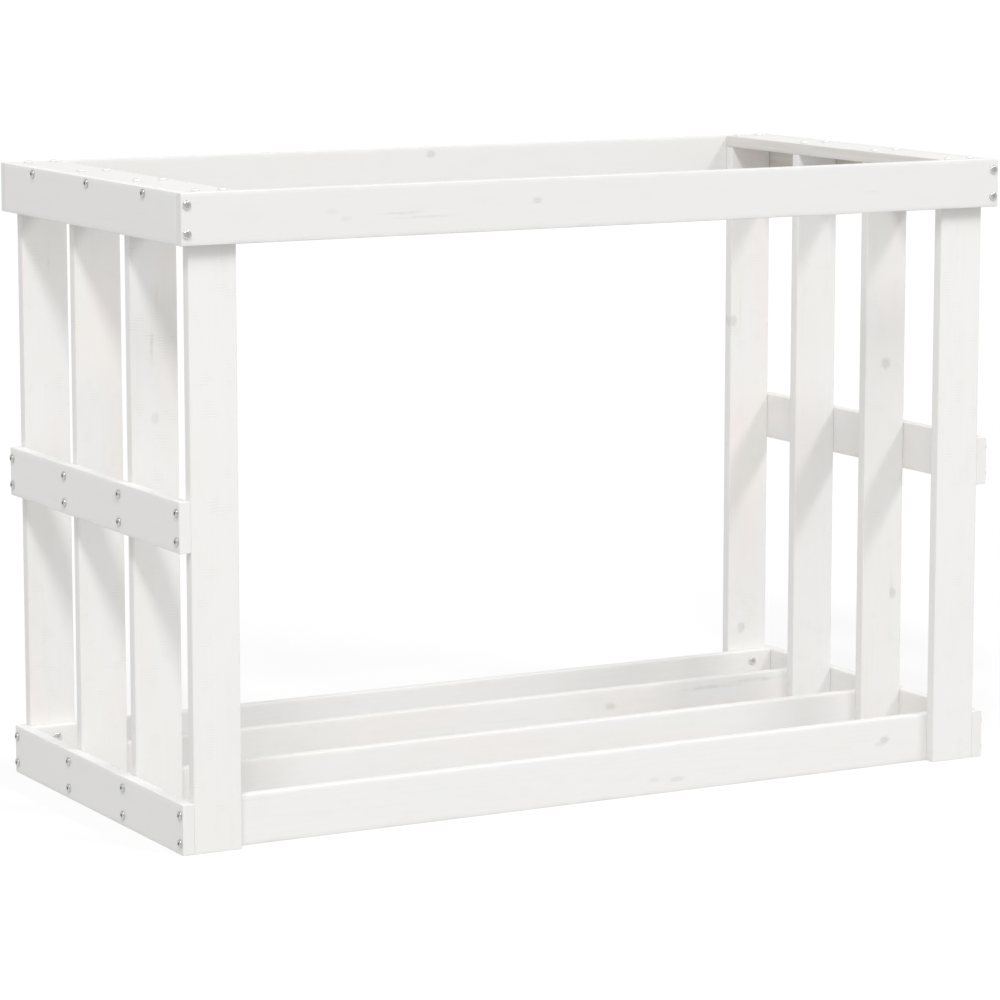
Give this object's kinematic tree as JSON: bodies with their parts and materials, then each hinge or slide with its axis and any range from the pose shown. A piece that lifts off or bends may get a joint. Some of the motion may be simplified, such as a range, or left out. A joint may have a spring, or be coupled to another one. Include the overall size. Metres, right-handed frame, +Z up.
{
  "type": "log rack",
  "caption": "Open slatted firewood and kindling rack: painted pine boards screwed into slatted ends, joined by long rails at the top and at the floor",
  "frame": {"origin": "on the floor, under the middle of the rack", "axes": "+X along the rack to the right, +Y from its front to its back, +Z up"},
  "size_m": [1.0852, 0.5252, 0.7426],
  "materials": {
    "painted_pine": "matt white wash over planed pine",
    "screw_steel": "zinc plated, satin"
  },
  "bodies": {
    "root": {"left_upright_1": "painted_pine", "left_upright_2": "painted_pine", "left_upright_3": "painted_pine", "left_upright_4": "painted_pine", "left_top_board": "painted_pine", "left_middle_board": "painted_pine", "left_bottom_board": "painted_pine", "left_cap_board": "painted_pine", "right_upright_1": "painted_pine", "right_upright_2": "painted_pine", "right_upright_3": "painted_pine", "right_upright_4": "painted_pine", "right_top_board": "painted_pine", "right_middle_board": "painted_pine", "right_bottom_board": "painted_pine", "right_cap_board": "painted_pine", "front_top_rail": "painted_pine", "rear_top_rail": "painted_pine", "floor_rail_1": "painted_pine", "floor_rail_2": "painted_pine", "floor_rail_3": "painted_pine", "floor_rail_4": "painted_pine", "left_front_corner_screw": "screw_steel", "left_rear_corner_screw": "screw_steel", "left_cap_edge_screw": "screw_steel", "left_cap_screw_1": "screw_steel", "left_cap_screw_2": "screw_steel", "left_cap_screw_3": "screw_steel", "left_cap_screw_4": "screw_steel", "left_middle_screw_1": "screw_steel", "left_middle_screw_2": "screw_steel", "left_middle_screw_3": "screw_steel", "left_middle_screw_4": "screw_steel", "left_bottom_screw_1": "screw_steel", "left_bottom_screw_2": "screw_steel", "left_bottom_screw_3": "screw_steel", "left_bottom_screw_4": "screw_steel", "left_rail_screw_1": "screw_steel", "left_rail_screw_2": "screw_steel", "left_rail_screw_3": "screw_steel", "left_rail_screw_4": "screw_steel", "right_front_corner_screw": "screw_steel", "right_rear_corner_screw": "screw_steel", "right_cap_edge_screw": "screw_steel", "right_cap_screw_1": "screw_steel", "right_cap_screw_2": "screw_steel", "right_cap_screw_3": "screw_steel", "right_cap_screw_4": "screw_steel", "right_middle_screw_1": "screw_steel", "right_middle_screw_2": "screw_steel", "right_middle_screw_3": "screw_steel", "right_middle_screw_4": "screw_steel", "right_bottom_screw_1": "screw_steel", "right_bottom_screw_2": "screw_steel", "right_bottom_screw_3": "screw_steel", "right_bottom_screw_4": "screw_steel", "right_rail_screw_1": "screw_steel", "right_rail_screw_2": "screw_steel", "right_rail_screw_3": "screw_steel", "right_rail_screw_4": "screw_steel"}
  },
  "joints": []
}
